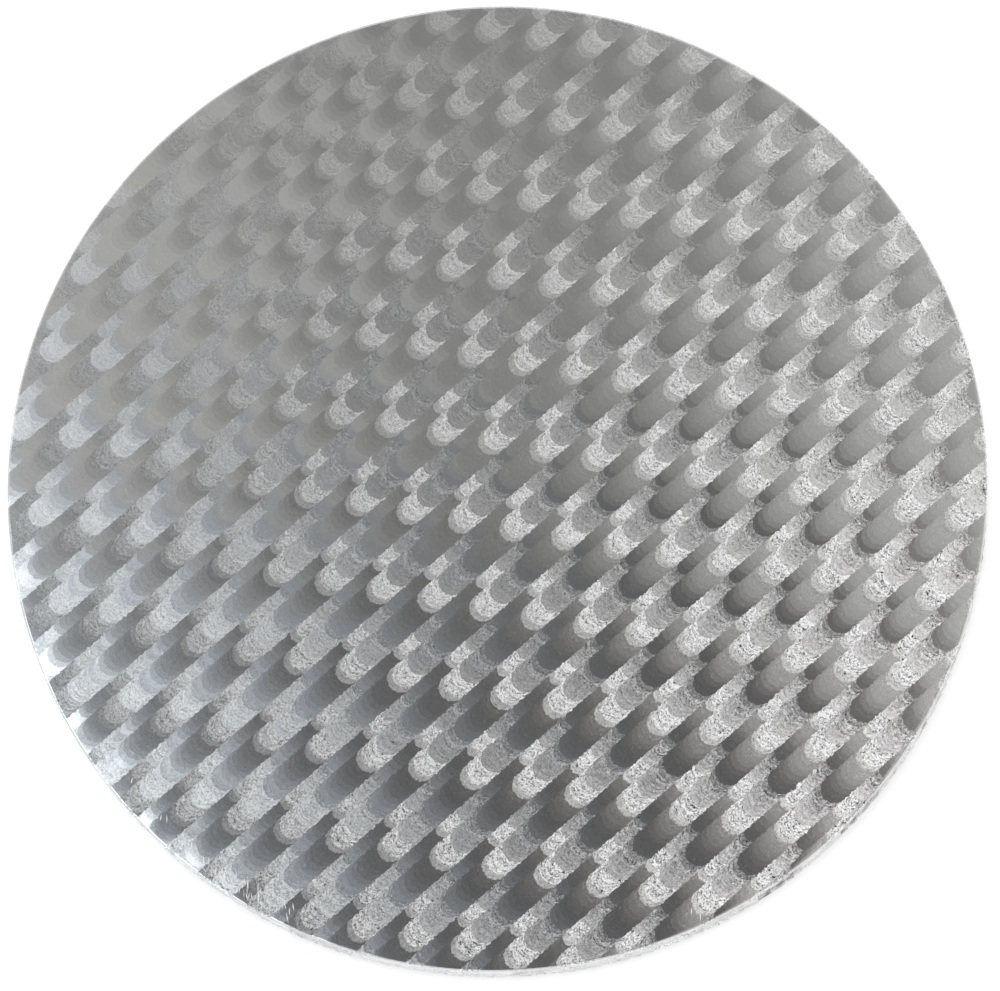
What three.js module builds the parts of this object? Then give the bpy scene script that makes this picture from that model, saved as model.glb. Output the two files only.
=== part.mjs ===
// Round cake board: a thick card disc wrapped in embossed silver foil.
// The foil covers the top, runs down the side in small pleats and turns in underneath,
// where a glued paper disc hides its raw edge.
// Millimetres, +Z up, origin at the centre of the underside.
import * as THREE from "three";

// Driving dimensions
const BOARD_DIAMETER = 203;
const BOARD_THICKNESS = 12;
const FOIL_THICKNESS = 0.3;
const PAPER_THICKNESS = 0.3;
const TURN_IN_WIDTH = 14;
const PAPER_SETBACK = 5;
const PAPER_OVERLAP_CLEARANCE = 0.3;
const PAPER_STEP_WIDTH = 1.2;
const CORE_CLEARANCE = 0.3;

// Rounding where the foil turns over the top and bottom rims of the card
const TOP_ROUNDING = 0.9;
const BOTTOM_ROUNDING = 1.3;
const ROUNDING_STEPS = 2;

// Pleats in the side wall: each rises slowly, then drops back at its crease
const PLEAT_COUNT = 120;
const PLEAT_PROFILE = [0, 0.6, 1];
const CREASE_SHARPNESS = 0.7;
const PLEAT_DEPTH_AT_FOOT = 0.35;
const PLEAT_DEPTH_HALFWAY = 0.16;
const PLEAT_DEPTH_UNDERNEATH = 0.2;

// Slow swellings of the wall's foot, where the foil is not drawn quite tight
const SWELLING_DEPTH = 0.3;
const SWELLING_WAVES = [
  { count: 6, share: 0.4, phase: 0.4 },
  { count: 14, share: 0.35, phase: 2.1 },
  { count: 22, share: 0.25, phase: 4.4 },
];

const CORE_SEGMENTS = 120;
const PAPER_SEGMENTS = 120;

const boardRadius = BOARD_DIAMETER / 2;
const foilInnerRadius = boardRadius - FOIL_THICKNESS;
const turnInEdgeRadius = boardRadius - TURN_IN_WIDTH;
const paperRadius = boardRadius - PAPER_SETBACK;
const foilTopInside = BOARD_THICKNESS - FOIL_THICKNESS;
const foilUnderside = PAPER_THICKNESS;
const coreUnderside = PAPER_THICKNESS + FOIL_THICKNESS;
const foilSegments = PLEAT_COUNT * PLEAT_PROFILE.length;

const foilMaterial = new THREE.MeshStandardMaterial({
  color: 0xb9babb,
  roughness: 0.32,
  metalness: 1,
});
const cardMaterial = new THREE.MeshStandardMaterial({
  color: 0x9a8f7e,
  roughness: 0.9,
  metalness: 0,
});
const paperMaterial = new THREE.MeshStandardMaterial({
  color: 0xe9e7e1,
  roughness: 0.85,
  metalness: 0,
});

// Points on a quarter circle from angle `from` to `to` in degrees, both ends included.
function arcPoints(centreX, centreY, radius, from, to) {
  const points = [];
  for (let step = 0; step <= ROUNDING_STEPS; step += 1) {
    const angle = THREE.MathUtils.degToRad(
      THREE.MathUtils.lerp(from, to, step / ROUNDING_STEPS),
    );
    const x = centreX + radius * Math.cos(angle);
    const y = centreY + radius * Math.sin(angle);
    points.push(new THREE.Vector2(x, y));
  }
  return points;
}

// Share, from 0 to 1, by which the wall's foot swells outwards at an angle round the board.
function swelling(angle) {
  let total = 0;
  for (const wave of SWELLING_WAVES) {
    total += wave.share * (0.5 + 0.5 * Math.cos(wave.count * angle + wave.phase));
  }
  return total;
}

// One ring of the foil's section: its point, how deep the pleats are there,
// how far the swelling pushes it, and the direction in which both act.
function ring(x, y, pleatDepth = 0, swellDepth = 0, outwards = new THREE.Vector2(1, 0)) {
  return { point: new THREE.Vector2(x, y), pleatDepth, swellDepth, outwards };
}

// The section of the foil: along its inner face from the middle of the top to the raw edge
// underneath, and back along its outer face.
function foilSection() {
  const innerFace = [
    ring(0, foilTopInside),
    ring(boardRadius - TOP_ROUNDING, foilTopInside),
    ring(foilInnerRadius, BOARD_THICKNESS - TOP_ROUNDING),
    ring(foilInnerRadius, foilUnderside + BOTTOM_ROUNDING),
    ring(boardRadius - BOTTOM_ROUNDING, coreUnderside),
    ring(turnInEdgeRadius, coreUnderside),
  ];
  const downwards = new THREE.Vector2(0, -1);
  const underneath = [
    ring(turnInEdgeRadius, foilUnderside),
    ring(paperRadius + PAPER_OVERLAP_CLEARANCE, foilUnderside),
  ];
  const foot = arcPoints(
    boardRadius - BOTTOM_ROUNDING,
    foilUnderside + BOTTOM_ROUNDING,
    BOTTOM_ROUNDING,
    -90,
    0,
  ).map((point, step) => {
    const rise = step / ROUNDING_STEPS;
    return ring(
      point.x,
      point.y,
      THREE.MathUtils.lerp(PLEAT_DEPTH_UNDERNEATH, PLEAT_DEPTH_AT_FOOT, rise),
      SWELLING_DEPTH * rise,
      downwards.clone().lerp(new THREE.Vector2(1, 0), rise).normalize(),
    );
  });
  const halfway = [
    ring(boardRadius, BOARD_THICKNESS / 2, PLEAT_DEPTH_HALFWAY, SWELLING_DEPTH / 2),
  ];
  const shoulder = arcPoints(
    boardRadius - TOP_ROUNDING,
    BOARD_THICKNESS - TOP_ROUNDING,
    TOP_ROUNDING,
    0,
    90,
  ).map((point) => ring(point.x, point.y));
  const top = [ring(0, BOARD_THICKNESS)];
  return [...innerFace, ...underneath, ...foot, ...halfway, ...shoulder, ...top];
}

// The foil is a revolved section whose outer face is then folded into pleats.
function foilWrap() {
  const section = foilSection();
  const geometry = new THREE.LatheGeometry(
    section.map((entry) => entry.point),
    foilSegments,
  );
  const position = geometry.getAttribute("position");
  const segmentAngle = (2 * Math.PI) / foilSegments;
  for (let segment = 0; segment <= foilSegments; segment += 1) {
    const fold = PLEAT_PROFILE[segment % PLEAT_PROFILE.length];
    const bunching = fold === 1 ? CREASE_SHARPNESS * segmentAngle : 0;
    section.forEach((entry, index) => {
      const folded = entry.pleatDepth > 0;
      const angle = segment * segmentAngle + (folded ? bunching : 0);
      const push =
        entry.pleatDepth * fold + entry.swellDepth * swelling(segment * segmentAngle);
      const radius = entry.point.x + push * entry.outwards.x;
      const height = entry.point.y + push * entry.outwards.y;
      position.setXYZ(
        segment * section.length + index,
        radius * Math.sin(angle),
        height,
        radius * Math.cos(angle),
      );
    });
  }
  geometry.rotateX(Math.PI / 2);
  const mesh = new THREE.Mesh(geometry, foilMaterial);
  mesh.name = "foil_wrap";
  return mesh;
}

// The stiff card disc, with its die-cut rims pressed down by the wrap.
function boardCore() {
  const radius = foilInnerRadius - CORE_CLEARANCE;
  const topRim = TOP_ROUNDING - FOIL_THICKNESS;
  const bottomRim = BOTTOM_ROUNDING - FOIL_THICKNESS;
  const profile = [
    new THREE.Vector2(0, coreUnderside),
    new THREE.Vector2(radius - bottomRim, coreUnderside),
    new THREE.Vector2(radius, coreUnderside + bottomRim),
    new THREE.Vector2(radius, foilTopInside - topRim),
    new THREE.Vector2(radius - topRim, foilTopInside),
    new THREE.Vector2(0, foilTopInside),
  ];
  const geometry = new THREE.LatheGeometry(profile, CORE_SEGMENTS);
  geometry.rotateX(Math.PI / 2);
  const mesh = new THREE.Mesh(geometry, cardMaterial);
  mesh.name = "board_core";
  return mesh;
}

// The paper disc under the board: glued to the card in the middle, it steps down over
// the foil's turned-in edge, and its outer ring is what the board stands on.
function backingPaper() {
  const stepOuterRadius = turnInEdgeRadius - PAPER_OVERLAP_CLEARANCE;
  const stepInnerRadius = stepOuterRadius - PAPER_STEP_WIDTH;
  const profile = [
    new THREE.Vector2(0, FOIL_THICKNESS),
    new THREE.Vector2(stepInnerRadius, FOIL_THICKNESS),
    new THREE.Vector2(stepOuterRadius, 0),
    new THREE.Vector2(paperRadius, 0),
    new THREE.Vector2(paperRadius, PAPER_THICKNESS),
    new THREE.Vector2(stepOuterRadius, PAPER_THICKNESS),
    new THREE.Vector2(stepInnerRadius, coreUnderside),
    new THREE.Vector2(0, coreUnderside),
  ];
  const geometry = new THREE.LatheGeometry(profile, PAPER_SEGMENTS);
  geometry.rotateX(Math.PI / 2);
  const mesh = new THREE.Mesh(geometry, paperMaterial);
  mesh.name = "backing_paper";
  return mesh;
}

const cakeBoard = new THREE.Group();
cakeBoard.add(boardCore());
cakeBoard.add(foilWrap());
cakeBoard.add(backingPaper());

export default cakeBoard;
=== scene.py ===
"""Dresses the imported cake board: embossed silver foil over a card disc, with a paper-lined underside."""

import math

import bpy
import numpy as np
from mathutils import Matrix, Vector


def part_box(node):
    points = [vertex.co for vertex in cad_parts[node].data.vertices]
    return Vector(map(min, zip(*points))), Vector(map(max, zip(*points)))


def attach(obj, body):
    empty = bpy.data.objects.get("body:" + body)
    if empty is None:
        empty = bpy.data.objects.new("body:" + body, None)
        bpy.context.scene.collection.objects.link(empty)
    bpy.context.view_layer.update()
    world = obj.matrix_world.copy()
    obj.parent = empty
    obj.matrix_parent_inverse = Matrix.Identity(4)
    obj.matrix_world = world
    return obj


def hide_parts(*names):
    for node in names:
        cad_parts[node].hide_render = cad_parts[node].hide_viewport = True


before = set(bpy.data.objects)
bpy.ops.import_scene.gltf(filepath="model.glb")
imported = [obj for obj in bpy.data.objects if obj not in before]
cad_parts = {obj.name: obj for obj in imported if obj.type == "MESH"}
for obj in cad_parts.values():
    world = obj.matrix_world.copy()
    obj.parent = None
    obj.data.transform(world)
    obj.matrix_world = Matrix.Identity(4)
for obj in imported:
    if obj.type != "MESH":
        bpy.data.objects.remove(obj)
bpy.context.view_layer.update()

MM = 0.001
RANDOM = np.random.default_rng(20)

# The photograph's width and the board's radius in it, in pixels
IMAGE_WIDTH = 1000
RADIUS_IN_PIXELS = 491.0

# The board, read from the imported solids
core_low, core_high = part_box("board_core")
foil_low, foil_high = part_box("foil_wrap")
paper_low, paper_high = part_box("backing_paper")
FOIL_THICKNESS = foil_high.z - core_high.z
CORE_CLEARANCE = 0.3 * MM
BOARD_RADIUS = core_high.x + CORE_CLEARANCE + FOIL_THICKNESS
TOP_HEIGHT = foil_high.z
CORE_UNDERSIDE = core_low.z
FOIL_UNDERSIDE = CORE_UNDERSIDE - FOIL_THICKNESS
PAPER_RADIUS = paper_high.x
TURN_IN_WIDTH = 14 * MM

# Camera: how far it tilts from straight above and towards which side, in degrees, and where it aims
CAMERA_TILT = 11.0
CAMERA_DIRECTION = -73.0
CAMERA_DISTANCE = 10.0 * BOARD_RADIUS
AIM = Vector((1.11 * MM, -3.29 * MM, TOP_HEIGHT))
SENSOR_WIDTH = 36.0

# The graded card over the board: its height and size, and its levels at the far half, the near half,
# the sides and the window
CARD_HEIGHT = 0.6
CARD_SIZE = 1.0
CARD_FAR = 0.33
CARD_NEAR = 0.1
CARD_SIDES = 0.27
CARD_WINDOW = 2.8
HORIZON_AHEAD = 0.13
HORIZON_SLOPE = 30.0
SIDES_SLOPE = 8.0
WINDOW_SLOPE = -9.0

# Levels of the floor's glow and of the world: as the camera and metal see them, and as they light
FLOOR_GREY = 0.8
FLOOR_GLOW = 0.34
WORLD_SEEN = 1.0
WORLD_LIGHT = 0.6
TABLE_SIZE = 6.0

# Shape of the wrap
SHOULDER_RADIUS = 0.6 * MM
RIM_FALL = 0.12 * MM
RIM_FALL_WIDTH = 6 * MM
RIM_FALL_DIRECTION = math.radians(218)
DIMPLE_DEPTH = 0.035 * MM
FOOT_RADIUS = 1.3 * MM
PLEATS = 236
PLEAT_SAMPLES = (0.0, 0.22, 0.45, 0.68, 0.88, 0.98)
PLEAT_DEPTH = 0.33 * MM
PLEAT_BULGE = 0.12 * MM
SWELLING_DEPTH = 0.28 * MM
SAG_DEPTH = 0.06 * MM
TOP_RINGS = 17
RIM_RINGS = 13
WALL_RINGS = 9
ROUNDING_RINGS = 5
UNDER_RINGS = 6
POLE_RADIUS = 0.4 * MM

# Nicks near the rim: how many round which span, in degrees round the board
NICKS = ((60, -130.5, -115.0), (7, -66.0, -62.5), (4, -141.0, -133.0))

# How far a tipped pleat's shading lifts, and which runs of pleats tip: centre and half width, in
# degrees round the board
FACET_LIFT = 4.5
TIPPED_PATCHES = (
    (-43.5, 2.6), (-56.0, 3.6), (-31.0, 1.4), (-22.0, 2.0), (-8.0, 3.0), (-112.0, 3.0),
)

# The embossed pattern, in millimetres on the unrolled sheet: rows of overlapping ground discs, wide
# rows over narrow ones
ROW_ANGLE = math.radians(40.83)
ROW_SPACING = 8.402
ROW_SHIFT = 6.835
CYCLE = 22.34
DISCS_PER_CYCLE = 16
WIDE_ROW = {"across": 1.87, "along": -10.65, "radius": 2.85}
NARROW_ROW = {"across": -2.33, "along": -6.92, "radius": 1.6}

# Over one cycle of a row: how bright the discs are, which is the embossed pattern with painted sheen standing
# for how each disc's grinding catches the light, and how frosted with grain
WIDE_TONES = [
    (0.0, 0.3), (0.06, 0.55), (0.1, 0.9), (0.22, 0.9), (0.26, 0.6), (0.44, 0.48),
    (0.52, 0.5), (0.56, 0.08), (0.8, 0.06), (0.99, 0.14),
]
NARROW_TONES = [
    (0.0, 0.4), (0.07, 0.9), (0.22, 0.9), (0.3, 0.75), (0.42, 0.55), (0.5, 0.3),
    (0.56, 0.1), (0.99, 0.14),
]
FROST = [
    (0.0, 0.3), (0.08, 0.9), (0.22, 1.0), (0.26, 0.4), (0.38, 0.55), (0.48, 0.95),
    (0.55, 0.6), (0.58, 0.1), (0.9, 0.1), (0.99, 0.3),
]
ROUGHNESS = [
    (0.0, 0.24), (0.07, 0.37), (0.22, 0.37), (0.26, 0.27), (0.4, 0.27), (0.5, 0.32),
    (0.57, 0.17), (0.99, 0.17),
]
# The same towards the near left, with painted light: there the base colour, grain and sheen are painted so
# that the next discs of each row show lit
NEAR_LEFT_PAINTED_TONES = [
    (0.0, 0.2), (0.06, 0.3), (0.1, 0.5), (0.24, 0.62), (0.28, 0.9), (0.44, 0.9),
    (0.5, 0.55), (0.56, 0.1), (0.99, 0.1),
]
NEAR_FROST = [
    (0.0, 0.3), (0.08, 1.0), (0.25, 1.0), (0.28, 0.75), (0.44, 0.8), (0.48, 0.5),
    (0.56, 0.15), (0.99, 0.2),
]
NEAR_ROUGHNESS = [
    (0.0, 0.22), (0.07, 0.33), (0.25, 0.36), (0.28, 0.42), (0.45, 0.42), (0.5, 0.28),
    (0.57, 0.19), (0.99, 0.2),
]
# Base colours of the dark and the bright discs: the same aluminium, so the difference between them is painted
# sheen
DARK_DISC = (0.6, 0.6, 0.595, 1)
BRIGHT_DISC = (0.88, 0.88, 0.89, 1)
PALEST_METAL = (0.95, 0.95, 0.95)

# Where the near left starts on the sheet, and how much nearer the viewer a place lies: with these the foil's
# base colour is painted darker towards the far side and painted lit towards the near left
NEAR_LEFT_WAY = (-0.95, -0.3, 0)
NEAR_LEFT_SLOPE = 0.02
NEAR_LEFT_START = -0.5
NEAR_WAY = (0.6, -0.8, 0)
NEAR_SLOPE = 0.006
NEAR_MIDDLE = 0.9

# The grain of the discs: how far it wanders, in millimetres, and how strong each part of it is
WANDER = 0.9
FLAKES_PER_MM = 2.9
CLOUD_GRAIN = 1.2
ARC_GRAIN = 1.1
CRACK_GRAIN = -0.45
OWN_TONE = 0.1
# Painted glints: how much the small bright specks lighten the base colour
PAINTED_GLINT_TONE = 0.5
SCRATCH_WIDTH = 0.006
SCRATCH_TONE = 0.45
EDGE_LINE_WIDTH = 0.14
EDGE_LINE_SHADE = -0.13
NARROW_SHARE = 0.65

# Which way a disc leans as its row goes round a cycle, and how far it and its flakes lean
DISC_LEAN = 0.07
LEAN_START = 42.0
LEAN_SHARE = [
    (0.0, 0.5), (0.07, 1.0), (0.25, 1.0), (0.28, 0.4), (0.48, 0.4), (0.58, 1.0),
    (0.82, 0.55), (0.99, 0.45),
]
LEAN_TURN = -360.0
FLAKE_LEAN = 0.04


class Nodes:
    """A node tree with a short way to add nodes and join them."""

    def __init__(self, tree):
        self.tree = tree
        tree.nodes.clear()

    def add(self, kind, **settings):
        node = self.tree.nodes.new(kind)
        for name, value in settings.items():
            setattr(node, name, value)
        return node

    def put(self, value, socket):
        if isinstance(value, bpy.types.NodeSocket):
            self.tree.links.new(value, socket)
        else:
            socket.default_value = value

    def math(self, operation, *values, clamp=False):
        node = self.add("ShaderNodeMath", operation=operation, use_clamp=clamp)
        for value, socket in zip(values, node.inputs):
            self.put(value, socket)
        return node.outputs[0]

    def vector_math(self, operation, *values):
        node = self.add("ShaderNodeVectorMath", operation=operation)
        for value, socket in zip(values, node.inputs):
            self.put(value, socket)
        return node.outputs["Value" if operation in ("LENGTH", "DOT_PRODUCT") else "Vector"]

    def scaled(self, vector, factor):
        node = self.add("ShaderNodeVectorMath", operation="SCALE")
        self.put(vector, node.inputs[0])
        self.put(factor, node.inputs["Scale"])
        return node.outputs["Vector"]

    def mix(self, factor, low, high):
        node = self.add("ShaderNodeMix", data_type="FLOAT")
        for name, value in (("Factor", factor), ("A", low), ("B", high)):
            self.put(value, node.inputs[name])
        return node.outputs[0]

    def mix_colour(self, factor, low, high):
        node = self.add("ShaderNodeMix", data_type="RGBA")
        self.put(factor, node.inputs[0])
        self.put(low, node.inputs[6])
        self.put(high, node.inputs[7])
        return node.outputs[2]

    def ramp(self, factor, stops):
        node = self.add("ShaderNodeValToRGB")
        elements = node.color_ramp.elements
        while len(elements) < len(stops):
            elements.new(0.5)
        for element, (position, value) in zip(elements, stops):
            element.position = position
            element.color = (value, value, value, 1)
        self.put(factor, node.inputs[0])
        return node.outputs["Color"]

    def noise(self, vector, scale, detail=2.0, roughness=0.5, dimensions="3D"):
        node = self.add("ShaderNodeTexNoise", noise_dimensions=dimensions)
        self.put(vector, node.inputs["Vector"])
        node.inputs["Scale"].default_value = scale
        node.inputs["Detail"].default_value = detail
        node.inputs["Roughness"].default_value = roughness
        return node.outputs["Fac"]


def new_material(name):
    material = bpy.data.materials.new(name)
    material.use_nodes = True
    return material, Nodes(material.node_tree)


def finish_material(nodes, **inputs):
    """Adds the surface shader and output, and joins or sets the shader's inputs."""
    shader = nodes.add("ShaderNodeBsdfPrincipled")
    for name, value in inputs.items():
        nodes.put(value, shader.inputs[name.replace("_", " ")])
    output = nodes.add("ShaderNodeOutputMaterial")
    nodes.put(shader.outputs[0], output.inputs["Surface"])


def disc_row(nodes, along, across, row):
    """Which disc of a row lies on top at a point, where it is in the cycle, and if the row reaches there."""
    radius = row["radius"]
    step = CYCLE / DISCS_PER_CYCLE
    offset = nodes.math("DIVIDE", nodes.math("SUBTRACT", across, row["across"]), ROW_SPACING)
    index = nodes.math("ROUND", offset)
    side = nodes.math("MULTIPLY", nodes.math("SUBTRACT", offset, index), ROW_SPACING)
    start = nodes.math("MULTIPLY_ADD", index, ROW_SHIFT, row["along"])
    place = nodes.math("SUBTRACT", along, start)
    side_squared = nodes.math("MULTIPLY", side, side)
    room = nodes.math("MAXIMUM", nodes.math("SUBTRACT", radius * radius, side_squared), 0.0)
    reach = nodes.math("SQRT", room)
    count = nodes.math("DIVIDE", nodes.math("ADD", place, reach), step)
    disc = nodes.math("FLOOR", count)
    edge = nodes.math("SUBTRACT", count, disc)
    phase = nodes.math("FRACT", nodes.math("DIVIDE", nodes.math("ADD", disc, 0.5), DISCS_PER_CYCLE))
    nearest = nodes.math("ROUND", nodes.math("DIVIDE", place, step))
    along_gap = nodes.math("MULTIPLY_ADD", nearest, -step, place)
    distance_squared = nodes.math("MULTIPLY_ADD", along_gap, along_gap, side_squared)
    covers = nodes.math("LESS_THAN", distance_squared, radius * radius)
    from_centre = nodes.math("MULTIPLY_ADD", disc, -step, place)
    reach_squared = nodes.math("MULTIPLY_ADD", from_centre, from_centre, side_squared)
    ring = nodes.math("SQRT", reach_squared)
    return {"phase": phase, "edge": edge, "covers": covers, "disc": disc, "index": index, "ring": ring}


def foil_material():
    """Bare embossed aluminium: each disc of the pattern leans its own way and is ground to its own sheen; its
    base colour also carries painted sheen, painted glints, and painted light and shade that change over the
    board.
    """
    material, nodes = new_material("embossed_silver_foil")
    sheet = nodes.add("ShaderNodeAttribute", attribute_name="sheet").outputs["Vector"]
    wander = nodes.add("ShaderNodeTexNoise", noise_dimensions="2D")
    nodes.put(sheet, wander.inputs["Vector"])
    wander.inputs["Scale"].default_value = 1.3
    wander.inputs["Detail"].default_value = 4.0
    wander.inputs["Roughness"].default_value = 0.65
    shift = nodes.vector_math("SUBTRACT", wander.outputs["Color"], (0.5, 0.5, 0.5))
    place = nodes.vector_math("ADD", sheet, nodes.scaled(shift, WANDER))
    along = nodes.vector_math("DOT_PRODUCT", place, (math.cos(ROW_ANGLE), math.sin(ROW_ANGLE), 0))
    across = nodes.vector_math("DOT_PRODUCT", place, (math.sin(ROW_ANGLE), -math.cos(ROW_ANGLE), 0))
    wide = disc_row(nodes, along, across, WIDE_ROW)
    narrow = disc_row(nodes, along, across, NARROW_ROW)

    covers = wide["covers"]
    phase, edge, disc, index, ring = (
        nodes.mix(covers, narrow[name], wide[name]) for name in ("phase", "edge", "disc", "index", "ring")
    )
    far_tone = nodes.mix_colour(covers, nodes.ramp(phase, NARROW_TONES), nodes.ramp(phase, WIDE_TONES))
    # Painted light and shade: the base colour grows darker towards the far side and takes painted lit tones
    # towards the near left, and grain, scratches and roughness change with the same masks
    leftward = nodes.vector_math("DOT_PRODUCT", sheet, NEAR_LEFT_WAY)
    near_left_painted_light = nodes.math("MULTIPLY_ADD", leftward, NEAR_LEFT_SLOPE, NEAR_LEFT_START, clamp=True)
    nearward = nodes.vector_math("DOT_PRODUCT", sheet, NEAR_WAY)
    near = nodes.math("MULTIPLY_ADD", nearward, NEAR_SLOPE, NEAR_MIDDLE)
    far_tone = nodes.math("MULTIPLY", far_tone, nodes.math("MULTIPLY_ADD", near, 1.15, -0.15, clamp=True))
    near_left_painted_tone = nodes.math("MULTIPLY", nodes.ramp(phase, NEAR_LEFT_PAINTED_TONES), nodes.mix(covers, NARROW_SHARE, 1.0))
    tone = nodes.mix(near_left_painted_light, far_tone, near_left_painted_tone)
    frost = nodes.mix_colour(near_left_painted_light, nodes.ramp(phase, FROST), nodes.ramp(phase, NEAR_FROST))
    frost = nodes.math("MULTIPLY", frost, nodes.math("MAXIMUM", near, 0.4))

    # Every disc has a grain of its own: small flakes that lean at random, and arcs round its centre
    own = nodes.add("ShaderNodeTexWhiteNoise", noise_dimensions="2D")
    own_place = nodes.add("ShaderNodeCombineXYZ")
    nodes.put(disc, own_place.inputs[0])
    nodes.put(index, own_place.inputs[1])
    nodes.put(own_place.outputs[0], own.inputs["Vector"])
    own_sheet = nodes.vector_math("ADD", place, nodes.scaled(own.outputs["Color"], 40.0))
    flakes = nodes.add("ShaderNodeTexVoronoi", voronoi_dimensions="2D")
    flakes.inputs["Scale"].default_value = FLAKES_PER_MM
    nodes.put(own_sheet, flakes.inputs["Vector"])
    cracks = nodes.math("MULTIPLY", nodes.math("SUBTRACT", flakes.outputs["Distance"], 0.36), 3.0, clamp=True)
    clouds = nodes.noise(own_sheet, 1.5, detail=3.0, roughness=0.7, dimensions="2D")
    arc_place = nodes.add("ShaderNodeCombineXYZ")
    nodes.put(nodes.math("MULTIPLY_ADD", own.outputs["Value"], 50.0, ring), arc_place.inputs[0])
    nodes.put(nodes.vector_math("DOT_PRODUCT", place, (0.15, 0.18, 0)), arc_place.inputs[1])
    arcs = nodes.noise(arc_place.outputs[0], 3.0, detail=1.0, dimensions="2D")
    grain = nodes.math("MULTIPLY", nodes.math("SUBTRACT", clouds, 0.5), CLOUD_GRAIN)
    grain = nodes.math("MULTIPLY_ADD", nodes.math("SUBTRACT", arcs, 0.5), ARC_GRAIN, grain)
    grain = nodes.math("MULTIPLY_ADD", cracks, CRACK_GRAIN, grain)
    own_level = nodes.math("SUBTRACT", own.outputs["Value"], 0.5)
    tone = nodes.math("MULTIPLY_ADD", own_level, OWN_TONE, tone)
    # Painted glints: small bright specks added to the base colour
    painted_glints = nodes.noise(place, 3.1, detail=2.0, dimensions="2D")
    painted_glints = nodes.math("MULTIPLY", nodes.math("SUBTRACT", painted_glints, 0.7), 5.0, clamp=True)
    tone = nodes.math("MULTIPLY_ADD", painted_glints, PAINTED_GLINT_TONE, tone, clamp=True)
    # Light scratch lines: real scratches, whose brightness is partly painted sheen that grows towards the
    # near side
    drawn_out = nodes.vector_math("MULTIPLY", own_sheet, (1.0, 0.35, 1.0))
    scratched = nodes.noise(drawn_out, 1.1, detail=1.0, dimensions="2D")
    from_line = nodes.math("ABSOLUTE", nodes.math("SUBTRACT", scratched, 0.5))
    scratches = nodes.math("LESS_THAN", from_line, SCRATCH_WIDTH)
    scratch_tone = nodes.math("MULTIPLY", near, SCRATCH_TONE)
    tone = nodes.math("MULTIPLY_ADD", scratches, scratch_tone, tone, clamp=True)
    shade = nodes.math("MULTIPLY_ADD", grain, frost, 1.0)
    at_edge = nodes.math("LESS_THAN", edge, EDGE_LINE_WIDTH)
    edge_line = nodes.math("MULTIPLY", at_edge, nodes.math("ADD", frost, 0.15, clamp=True))
    shade = nodes.math("MULTIPLY_ADD", edge_line, EDGE_LINE_SHADE, shade)
    # Base colour of the foil: the embossed pattern with painted sheen, painted glints and painted light and
    # shade, all carried by the tone
    colour = nodes.scaled(nodes.mix_colour(tone, DARK_DISC, BRIGHT_DISC), shade)
    colour = nodes.vector_math("MINIMUM", colour, PALEST_METAL)
    roughness = nodes.mix_colour(near_left_painted_light, nodes.ramp(phase, ROUGHNESS), nodes.ramp(phase, NEAR_ROUGHNESS))
    roughness = nodes.math("MULTIPLY", roughness, nodes.math("MULTIPLY_ADD", near, 0.45, 0.6, clamp=True))

    # The discs and their flakes lean in the sheet's plane, and tipped pleats lift
    turn = nodes.math("MULTIPLY_ADD", phase, math.radians(LEAN_TURN), math.radians(LEAN_START))
    lean_way = nodes.add("ShaderNodeCombineXYZ")
    nodes.put(nodes.math("COSINE", turn), lean_way.inputs[0])
    nodes.put(nodes.math("SINE", turn), lean_way.inputs[1])
    flake_lean = nodes.vector_math("SUBTRACT", flakes.outputs["Color"], (0.5, 0.5, 0.5))
    flake_lean = nodes.scaled(flake_lean, nodes.math("MULTIPLY", frost, 2 * FLAKE_LEAN))
    lean_size = nodes.math("MULTIPLY", nodes.ramp(phase, LEAN_SHARE), DISC_LEAN)
    lean = nodes.vector_math("ADD", nodes.scaled(lean_way.outputs[0], lean_size), flake_lean)
    lean = nodes.vector_math("MULTIPLY", lean, (1, 1, 0))
    lean_world = nodes.add(
        "ShaderNodeVectorTransform", vector_type="VECTOR", convert_from="OBJECT", convert_to="WORLD"
    )
    nodes.put(lean, lean_world.inputs[0])
    face = nodes.add("ShaderNodeNewGeometry").outputs["Normal"]
    tipped = nodes.add("ShaderNodeAttribute", attribute_name="tipped").outputs["Fac"]
    up = nodes.add("ShaderNodeCombineXYZ")
    nodes.put(nodes.math("MULTIPLY", tipped, FACET_LIFT), up.inputs[2])
    leaning = nodes.vector_math("ADD", face, lean_world.outputs[0])
    normal = nodes.vector_math("ADD", leaning, up.outputs[0])
    normal = nodes.vector_math("NORMALIZE", normal)
    finish_material(nodes, Base_Color=colour, Roughness=roughness, Metallic=1.0, Normal=normal)
    return material


def card_material():
    """Grey-brown recycled card with short fibres."""
    material, nodes = new_material("laminated_card")
    place = nodes.add("ShaderNodeTexCoord").outputs["Object"]
    fibre = nodes.noise(place, 900.0, detail=5.0, roughness=0.7)
    cloud = nodes.noise(place, 60.0, detail=3.0)
    colour = nodes.mix_colour(fibre, (0.26, 0.21, 0.15, 1), (0.4, 0.34, 0.26, 1))
    colour = nodes.mix_colour(nodes.math("MULTIPLY", cloud, 0.3), colour, (0.2, 0.16, 0.12, 1))
    bump = nodes.add("ShaderNodeBump")
    bump.inputs["Strength"].default_value = 0.4
    bump.inputs["Distance"].default_value = 0.05 * MM
    nodes.put(fibre, bump.inputs["Height"])
    finish_material(nodes, Base_Color=colour, Roughness=0.9, Normal=bump.outputs[0])
    return material


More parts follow.
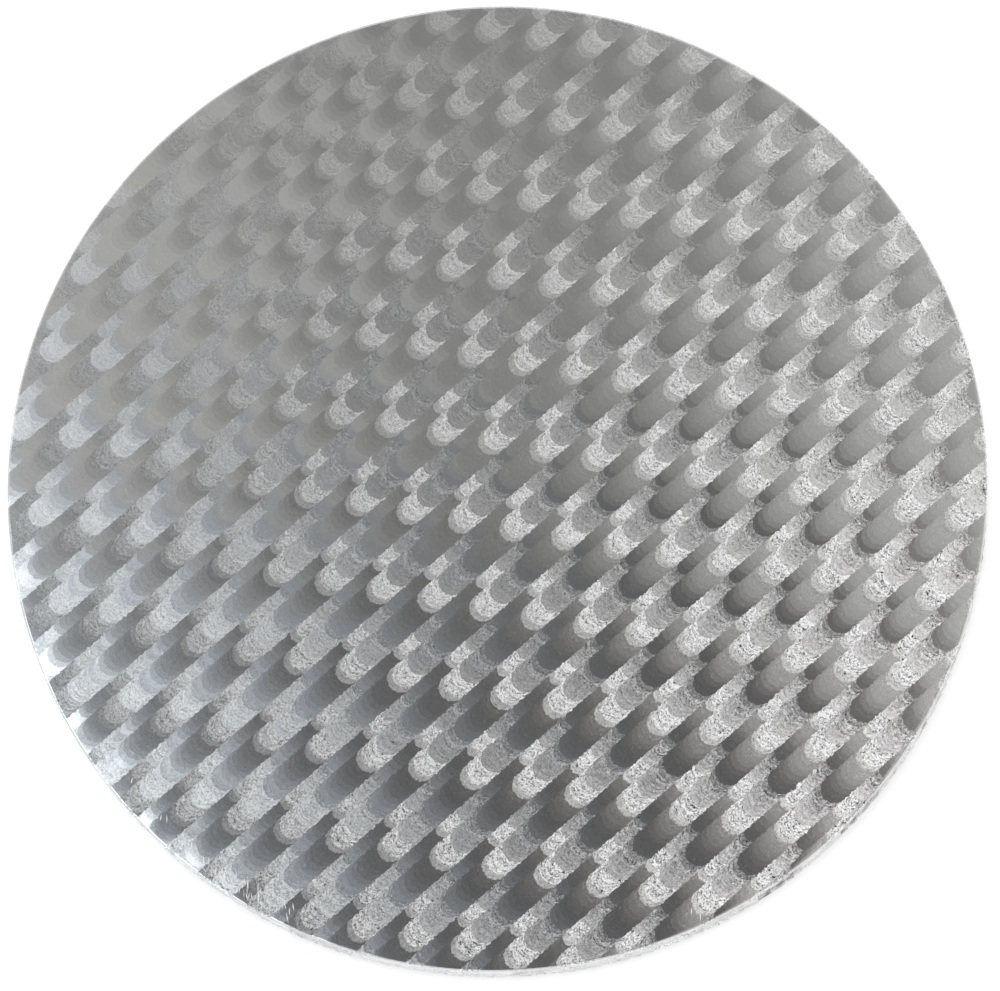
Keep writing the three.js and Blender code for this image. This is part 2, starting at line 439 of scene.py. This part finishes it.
def paper_material():
    """Uncoated white lining paper with a faint fibre."""
    material, nodes = new_material("lining_paper")
    place = nodes.add("ShaderNodeTexCoord").outputs["Object"]
    fibre = nodes.noise(place, 1400.0, detail=4.0, roughness=0.65)
    cloud = nodes.noise(place, 45.0, detail=3.0)
    colour = nodes.mix_colour(fibre, (0.72, 0.71, 0.67, 1), (0.84, 0.83, 0.8, 1))
    colour = nodes.mix_colour(nodes.math("MULTIPLY", cloud, 0.22), colour, (0.6, 0.58, 0.53, 1))
    bump = nodes.add("ShaderNodeBump")
    bump.inputs["Strength"].default_value = 0.3
    bump.inputs["Distance"].default_value = 0.04 * MM
    nodes.put(fibre, bump.inputs["Height"])
    finish_material(nodes, Base_Color=colour, Roughness=0.82, Normal=bump.outputs[0])
    return material


def arc(centre_radius, centre_height, radius, start, end, steps):
    """Radii and heights along a quarter circle of the section."""
    angles = np.radians(np.linspace(start, end, steps))
    return centre_radius + radius * np.cos(angles), centre_height + radius * np.sin(angles)


def crease_angles():
    """Where the pleats' creases lie round the board, how deep each pleat is, and how far down it starts."""
    widths = RANDOM.uniform(0.6, 1.4, PLEATS)
    starts = np.concatenate(([0.0], np.cumsum(widths)))
    depths = RANDOM.uniform(0.35, 1.0, PLEATS)
    delays = RANDOM.uniform(0.0, 0.6, PLEATS)
    return starts / starts[-1] * 2 * math.pi, depths, delays


def in_spans(angle, spans):
    """1 where an angle lies in one of the spans, each a centre and a half width in degrees, or else 0."""
    found = np.zeros(len(angle))
    for centre, half_width in spans:
        gap = np.abs((np.degrees(angle) - centre + 180) % 360 - 180)
        found = np.maximum(found, gap < half_width)
    return found


def pleat_tips(angle):
    """How far each pleat of the wall tips upwards, from 0 to 1: tipped pleats come in runs."""
    runs = np.sin(9 * angle + 0.6) + np.sin(17 * angle + 2.0) + 0.8 * np.sin(31 * angle + 4.0)
    tips = np.clip(0.12 + 0.1 * runs + RANDOM.uniform(-0.12, 0.12, PLEATS), 0, 0.35)
    return np.maximum(tips, in_spans(angle, TIPPED_PATCHES) * RANDOM.uniform(0.7, 1.0, PLEATS))


def swelling(angle):
    """How far the wall's foot swells at an angle, from 0 to 1."""
    waves = ((6, 0.3, 0.4), (14, 0.25, 2.1), (22, 0.2, 4.4), (46, 0.15, 1.0), (82, 0.1, 3.0))
    return sum(share * (0.5 + 0.5 * np.cos(count * angle + phase)) for count, share, phase in waves)


def foil_sheet():
    """The wrap as one closed sheet: top, shoulder, pleated wall, foot, turned-in edge and inner face."""
    creases, depths, delays = crease_angles()
    tips = pleat_tips(creases[:-1])
    bulges = RANDOM.uniform(-1.0, 0.4, PLEATS) * PLEAT_BULGE
    fold, angle, depth, delay, tip, bulge = [], [], [], [], [], []
    for pleat in range(PLEATS):
        for sample in PLEAT_SAMPLES:
            angle.append(creases[pleat] + sample * (creases[pleat + 1] - creases[pleat]))
            fold.append(sample**1.4)
            depth.append(depths[pleat])
            delay.append(delays[pleat])
            tip.append(tips[pleat] * (0.45 if sample > 0.9 else 1.0))
            bulge.append(bulges[pleat])
    values = (np.array(values) for values in (angle, fold, depth, delay, tip, bulge))
    angle, fold, depth, delay, tip, bulge = values

    top_radii = np.concatenate(
        (
            np.linspace(POLE_RADIUS, BOARD_RADIUS - 16 * MM, TOP_RINGS),
            np.linspace(BOARD_RADIUS - 14 * MM, BOARD_RADIUS - SHOULDER_RADIUS - 0.2 * MM, RIM_RINGS),
        )
    )
    top_count = len(top_radii)
    wall_top = TOP_HEIGHT - SHOULDER_RADIUS
    foot_top = FOIL_UNDERSIDE + FOOT_RADIUS
    turn_in_edge = BOARD_RADIUS - TURN_IN_WIDTH
    shoulder = arc(BOARD_RADIUS - SHOULDER_RADIUS, wall_top, SHOULDER_RADIUS, 90, 0, ROUNDING_RINGS)
    foot = arc(BOARD_RADIUS - FOOT_RADIUS, foot_top, FOOT_RADIUS, 0, -90, ROUNDING_RINGS)
    wall_radii = np.full(WALL_RINGS, BOARD_RADIUS)
    wall_heights = np.linspace(wall_top - 0.7 * MM, foot_top + 0.6 * MM, WALL_RINGS)
    under_radii = np.linspace(BOARD_RADIUS - FOOT_RADIUS - 0.8 * MM, turn_in_edge, UNDER_RINGS)
    under_heights = np.full(UNDER_RINGS, FOIL_UNDERSIDE)
    top_heights = np.full(top_count, TOP_HEIGHT)
    outer_radius = np.concatenate((top_radii, shoulder[0], wall_radii, foot[0], under_radii))
    outer_height = np.concatenate((top_heights, shoulder[1], wall_heights, foot[1], under_heights))
    inside = BOARD_RADIUS - FOIL_THICKNESS
    inner_radius = np.array([turn_in_edge, inside - 1.0 * MM, inside, inside, inside - 0.6 * MM, POLE_RADIUS])
    inner_height = np.array(
        [
            CORE_UNDERSIDE,
            CORE_UNDERSIDE,
            CORE_UNDERSIDE + 1.0 * MM,
            TOP_HEIGHT - 0.9 * MM,
            core_high.z,
            core_high.z,
        ]
    )
    radius = np.concatenate((outer_radius, inner_radius))
    height = np.concatenate((outer_height, inner_height))
    outer_count = len(outer_radius)
    steps = np.hypot(np.diff(radius), np.diff(height))
    unrolled = radius[0] + np.concatenate(([0.0], np.cumsum(steps)))

    vertices = np.empty((len(radius), len(angle), 3))
    sheet = np.empty_like(vertices)
    tipped = np.zeros(vertices.shape[:2])
    for ring in range(len(radius)):
        down = np.clip((wall_top - height[ring]) / (wall_top - foot_top), 0, 1)
        share = np.clip((down - delay) / (1 - delay), 0, 1)
        push_out = np.zeros(len(angle))
        push_down = np.zeros(len(angle))
        if ring < outer_count and height[ring] < wall_top:
            pushed = PLEAT_DEPTH * depth * fold * share + SWELLING_DEPTH * down * swelling(angle)
            pushed += bulge * np.sin(math.pi * down)
            ragged = 0.65 + 0.35 * np.sin(5 * down + 40 * np.sin(3 * angle)) * np.sin(90 * angle + 7 * down)
            tipped[ring] = tip * ragged * np.clip(down * 6, 0, 1) * np.clip((1.1 - down) * 5, 0, 1)
            lean = np.clip((height[ring] - FOIL_UNDERSIDE) / FOOT_RADIUS, 0, 1)
            push_out = pushed * lean
            reach_under = np.clip((radius[ring] - PAPER_RADIUS) / (BOARD_RADIUS - PAPER_RADIUS), 0, 1)
            push_down = 0.6 * pushed * (1 - lean) * reach_under
        here = radius[ring] + push_out
        vertices[ring, :, 0] = here * np.cos(angle)
        vertices[ring, :, 1] = here * np.sin(angle)
        vertices[ring, :, 2] = height[ring] - push_down
        sheet[ring, :, 0] = unrolled[ring] * np.cos(angle) / MM
        sheet[ring, :, 1] = unrolled[ring] * np.sin(angle) / MM
        sheet[ring, :, 2] = 0
        on_top = np.clip(1 - (ring - top_count) / (len(shoulder[0]) - 1), 0, 1)
        if on_top > 0:
            vertices[ring, :, 2] -= on_top * sag(vertices[ring, :, 0], vertices[ring, :, 1])
    return revolved_mesh("embossed_foil", vertices, sheet, tipped)


def sag(x, y):
    """How far the top lies below its highest point: long waves, a fall at the rim and dimples near it."""
    waves = (
        np.sin(x / (17 * MM) + 1.3) * np.cos(y / (21 * MM) + 0.4)
        + 0.6 * np.sin(x / (9 * MM) - 0.7) * np.sin(y / (11 * MM) + 2.0)
        + 0.35 * np.sin((x + y) / (5.5 * MM)) * np.cos((x - y) / (6.5 * MM) + 1.0)
    )
    reach = np.hypot(x, y)
    angle = np.arctan2(y, x)
    near_rim = np.clip((reach - BOARD_RADIUS + RIM_FALL_WIDTH) / RIM_FALL_WIDTH, 0, 1)
    towards = 0.5 + 0.5 * np.cos(angle - RIM_FALL_DIRECTION)
    fall = RIM_FALL * (0.7 + 0.8 * towards**3) * near_rim**2
    lengthwise = np.sin(x / (1.3 * MM) + 2 * np.sin(y / (2.1 * MM)))
    dimples = lengthwise * np.sin(y / (1.6 * MM) + np.sin(x / (2.7 * MM)))
    dimpled = np.clip((reach - BOARD_RADIUS + 14 * MM) / (10 * MM), 0, 1) * (0.15 + 0.85 * towards**4)
    return SAG_DEPTH * (0.5 + 0.25 * waves) + fall + DIMPLE_DEPTH * dimpled * (0.5 + 0.5 * dimples)


def rim_nicks():
    """Short raised creases near the rim, where the foil was pinched as it was pulled over the edge."""
    points = []
    faces = []
    sides = ((0, 4, 1), (1, 4, 2), (2, 4, 3), (3, 4, 0), (0, 1, 2, 3))
    for count, first, last in NICKS:
        for angle in np.radians(RANDOM.uniform(first, last, count)):
            reach = BOARD_RADIUS - RANDOM.uniform(1.6, 4.6) * MM
            half_length = RANDOM.uniform(0.6, 1.5) * MM
            half_width = RANDOM.uniform(0.08, 0.15) * MM
            turn = math.pi / 2 + RANDOM.uniform(-0.25, 0.3)
            along = np.array([math.cos(turn), math.sin(turn)])
            aside = np.array([-along[1], along[0]])
            centre = reach * np.array([math.cos(angle), math.sin(angle)])
            corners = (
                (centre - half_length * along, -0.01),
                (centre + half_width * aside, -0.01),
                (centre + half_length * along, -0.01),
                (centre - half_width * aside, -0.01),
                (centre, 0.07),
            )
            start = len(points)
            for place, above in corners:
                height = TOP_HEIGHT - sag(place[0], place[1]) + above * MM
                points.append((place[0], place[1], min(height, TOP_HEIGHT - 0.003 * MM)))
            faces.extend(tuple(start + corner for corner in side) for side in sides)
    mesh = bpy.data.meshes.new("rim_nicks")
    mesh.from_pydata(points, [], faces)
    mesh.update()
    piece = bpy.data.objects.new("rim_nicks", mesh)
    bpy.context.scene.collection.objects.link(piece)
    return piece


def nick_material():
    """Bright creased foil: bare metal with a fine uneven sheen."""
    material, nodes = new_material("creased_foil")
    place = nodes.add("ShaderNodeTexCoord").outputs["Object"]
    uneven = nodes.noise(place, 2500.0, detail=3.0)
    colour = nodes.mix_colour(uneven, (0.72, 0.74, 0.74, 1), (0.94, 0.95, 0.95, 1))
    finish_material(nodes, Base_Color=colour, Roughness=nodes.mix(uneven, 0.2, 0.4), Metallic=1.0)
    return material


def revolved_mesh(name, vertices, sheet, tipped):
    """A closed mesh from rings of vertices, which carry their place on the unrolled sheet and their tip."""
    rings, segments, _ = vertices.shape
    points = vertices.reshape(-1, 3)
    poles = np.array([[0, 0, vertices[0, :, 2].mean()], [0, 0, vertices[-1, :, 2].mean()]])
    points = np.concatenate((points, poles))
    places = np.concatenate((sheet.reshape(-1, 3), np.zeros((2, 3))))
    here = np.arange(segments)
    following = (here + 1) % segments
    faces = []
    for ring in range(rings - 1):
        near = ring * segments
        far = near + segments
        faces.extend(zip(near + here, far + here, far + following, near + following))
    first_pole = rings * segments
    last = (rings - 1) * segments
    faces.extend(zip(np.full(segments, first_pole), here, following))
    faces.extend(zip(np.full(segments, first_pole + 1), last + following, last + here))
    mesh = bpy.data.meshes.new(name)
    mesh.from_pydata([tuple(p) for p in points], [], [tuple(int(i) for i in face) for face in faces])
    attribute = mesh.attributes.new("sheet", "FLOAT_VECTOR", "POINT")
    attribute.data.foreach_set("vector", places.astype(np.float32).ravel())
    attribute = mesh.attributes.new("tipped", "FLOAT", "POINT")
    attribute.data.foreach_set("value", np.append(tipped.ravel(), (0.0, 0.0)).astype(np.float32))
    mesh.update()
    mesh.shade_smooth()
    piece = bpy.data.objects.new(name, mesh)
    bpy.context.scene.collection.objects.link(piece)
    return piece


def add_piece(piece, material, node):
    """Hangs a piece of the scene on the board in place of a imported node."""
    piece.data.materials.append(material)
    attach(piece, "root")
    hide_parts(node)


def dress_node(node, material):
    """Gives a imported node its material."""
    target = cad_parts[node]
    target.data.materials.clear()
    target.data.materials.append(material)


def add_camera():
    """The photograph's camera: it looks down from the near side, with the far side upwards."""
    tilt = math.radians(CAMERA_TILT)
    direction = math.radians(CAMERA_DIRECTION)
    aside = math.sin(tilt)
    offset = Vector((aside * math.cos(direction), aside * math.sin(direction), math.cos(tilt)))
    position = Vector((0, 0, TOP_HEIGHT)) + CAMERA_DISTANCE * offset
    data = bpy.data.cameras.new("camera")
    data.sensor_width = SENSOR_WIDTH
    data.lens = SENSOR_WIDTH * RADIUS_IN_PIXELS / IMAGE_WIDTH * CAMERA_DISTANCE / BOARD_RADIUS
    camera = bpy.data.objects.new("camera", data)
    bpy.context.scene.collection.objects.link(camera)
    forward = (AIM - position).normalized()
    right = forward.cross(Vector((0, 1, 0))).normalized()
    up = right.cross(forward)
    camera.rotation_mode = "QUATERNION"
    rotation = camera.rotation_quaternion.to_matrix()
    for row in range(3):
        rotation[row][0], rotation[row][1], rotation[row][2] = right[row], up[row], -forward[row]
    camera.rotation_quaternion = rotation.to_quaternion()
    camera.location = position
    bpy.context.scene.camera = camera


def stage_plane(name, size, location, material):
    """A square plane that belongs to the stage and not to the part."""
    half = size / 2
    corners = [(-half, -half, 0), (half, -half, 0), (half, half, 0), (-half, half, 0)]
    mesh = bpy.data.meshes.new(name)
    mesh.from_pydata(corners, [], [(0, 1, 2, 3)])
    plane = bpy.data.objects.new(name, mesh)
    plane.location = location
    plane.data.materials.append(material)
    bpy.context.scene.collection.objects.link(plane)
    return plane


def add_floor():
    """A white table: it takes the board's shadow, and shows white to the camera and in the foil."""
    material, nodes = new_material("white_table")
    diffuse = nodes.add("ShaderNodeBsdfDiffuse")
    diffuse.inputs["Color"].default_value = (FLOOR_GREY, FLOOR_GREY, FLOOR_GREY, 1)
    glow = nodes.add("ShaderNodeEmission")
    glow.inputs["Strength"].default_value = FLOOR_GLOW
    path = nodes.add("ShaderNodeLightPath")
    seen = nodes.math("MAXIMUM", path.outputs["Is Camera Ray"], path.outputs["Is Glossy Ray"])
    seen = nodes.math("MAXIMUM", seen, path.outputs["Is Transmission Ray"])
    both = nodes.add("ShaderNodeAddShader")
    nodes.put(diffuse.outputs[0], both.inputs[0])
    nodes.put(glow.outputs[0], both.inputs[1])
    pick = nodes.add("ShaderNodeMixShader")
    nodes.put(seen, pick.inputs[0])
    nodes.put(diffuse.outputs[0], pick.inputs[1])
    nodes.put(both.outputs[0], pick.inputs[2])
    output = nodes.add("ShaderNodeOutputMaterial")
    nodes.put(pick.outputs[0], output.inputs["Surface"])
    stage_plane("table", TABLE_SIZE, (0, 0, 0), material)


def add_world():
    """A plain white surround: it lights the object at a plain level and shows white in the foil."""
    world = bpy.data.worlds.new("studio")
    world.use_nodes = True
    bpy.context.scene.world = world
    nodes = Nodes(world.node_tree)
    seen = nodes.add("ShaderNodeBackground")
    seen.inputs["Color"].default_value = (1, 1, 1, 1)
    seen.inputs["Strength"].default_value = WORLD_SEEN
    light = nodes.add("ShaderNodeBackground")
    light.inputs["Color"].default_value = (1, 1, 1, 1)
    light.inputs["Strength"].default_value = WORLD_LIGHT
    path = nodes.add("ShaderNodeLightPath")
    pick = nodes.add("ShaderNodeMixShader")
    white = nodes.math("MAXIMUM", path.outputs["Is Camera Ray"], path.outputs["Is Glossy Ray"])
    nodes.put(nodes.math("MAXIMUM", white, path.outputs["Is Transmission Ray"]), pick.inputs[0])
    nodes.put(light.outputs[0], pick.inputs[1])
    nodes.put(seen.outputs[0], pick.inputs[2])
    output = nodes.add("ShaderNodeOutputWorld")
    nodes.put(pick.outputs[0], output.inputs["Surface"])


def add_card():
    """The graded card that hangs over the board: the foil's flat discs mirror it."""
    material, nodes = new_material("graded_card")
    axes = nodes.add("ShaderNodeSeparateXYZ")
    nodes.put(nodes.add("ShaderNodeTexCoord").outputs["Object"], axes.inputs[0])
    aside, ahead = axes.outputs[0], axes.outputs[1]
    rightward = nodes.math("MULTIPLY_ADD", aside, 10.0, 0.2, clamp=True)
    horizon = nodes.math("MULTIPLY_ADD", rightward, 0.08, ahead)
    beyond = nodes.math("SUBTRACT", horizon, HORIZON_AHEAD)
    lift = nodes.math("MULTIPLY_ADD", beyond, HORIZON_SLOPE, 0.5, clamp=True)
    level = nodes.math("MULTIPLY_ADD", lift, CARD_FAR - CARD_NEAR, CARD_NEAR)
    right_side = nodes.math("ADD", aside, 0.02)
    left_side = nodes.math("MULTIPLY_ADD", aside, -1.2, -0.09)
    beside = nodes.math("MAXIMUM", right_side, left_side)
    sides = nodes.math("MULTIPLY", beside, SIDES_SLOPE, clamp=True)
    level = nodes.math("MULTIPLY_ADD", sides, CARD_SIDES, level)
    leftward = nodes.math("MULTIPLY", nodes.math("ADD", aside, 0.21), WINDOW_SLOPE, clamp=True)
    nearward = nodes.math("MULTIPLY", nodes.math("SUBTRACT", ahead, 0.12), WINDOW_SLOPE, clamp=True)
    window = nodes.math("MULTIPLY", leftward, nearward)
    level = nodes.math("MULTIPLY_ADD", window, CARD_WINDOW, level)
    right = nodes.math("MULTIPLY_ADD", aside, 6.0, 0.9, clamp=True)
    tint = nodes.mix_colour(right, (0.93, 1.0, 1.09, 1), (1.06, 1.0, 0.97, 1))
    tint = nodes.mix_colour(lift, tint, (1.0, 1.0, 0.97, 1))
    tint = nodes.mix_colour(window, tint, (0.9, 1.0, 1.03, 1))
    glow = nodes.add("ShaderNodeEmission")
    nodes.put(level, glow.inputs["Strength"])
    nodes.put(tint, glow.inputs["Color"])
    output = nodes.add("ShaderNodeOutputMaterial")
    nodes.put(glow.outputs[0], output.inputs["Surface"])
    card = stage_plane("graded_card", CARD_SIZE, (0, 0, CARD_HEIGHT), material)
    card.visible_camera = False
    card.visible_shadow = False


def add_softbox(name, size, location, level):
    """A round softbox that faces the board's centre and gives it the stated level of light."""
    data = bpy.data.lights.new(name, "AREA")
    data.shape = "DISK"
    data.size = size
    distance = Vector(location).length
    data.energy = level * math.pi**2 * distance**2
    lamp = bpy.data.objects.new(name, data)
    lamp.location = location
    lamp.rotation_mode = "QUATERNION"
    lamp.rotation_quaternion = (-Vector(location)).to_track_quat("-Z", "Y")
    bpy.context.scene.collection.objects.link(lamp)
    return lamp


def add_lights():
    """A soft overhead lamp that the foil doesn't mirror, and a small one whose glow it does."""
    overhead = add_softbox("overhead_softbox", 0.5, (0.03, 0.03, 1.1), 0.4)
    overhead.visible_glossy = False
    add_softbox("key_softbox", 0.2, (0.26, -0.06, 1.0), 0.082)


bpy.context.scene.view_settings.view_transform = "Standard"
add_camera()
add_floor()
add_world()
add_card()
add_lights()

add_piece(foil_sheet(), foil_material(), "foil_wrap")
add_piece(rim_nicks(), nick_material(), "foil_wrap")
dress_node("board_core", card_material())
dress_node("backing_paper", paper_material())
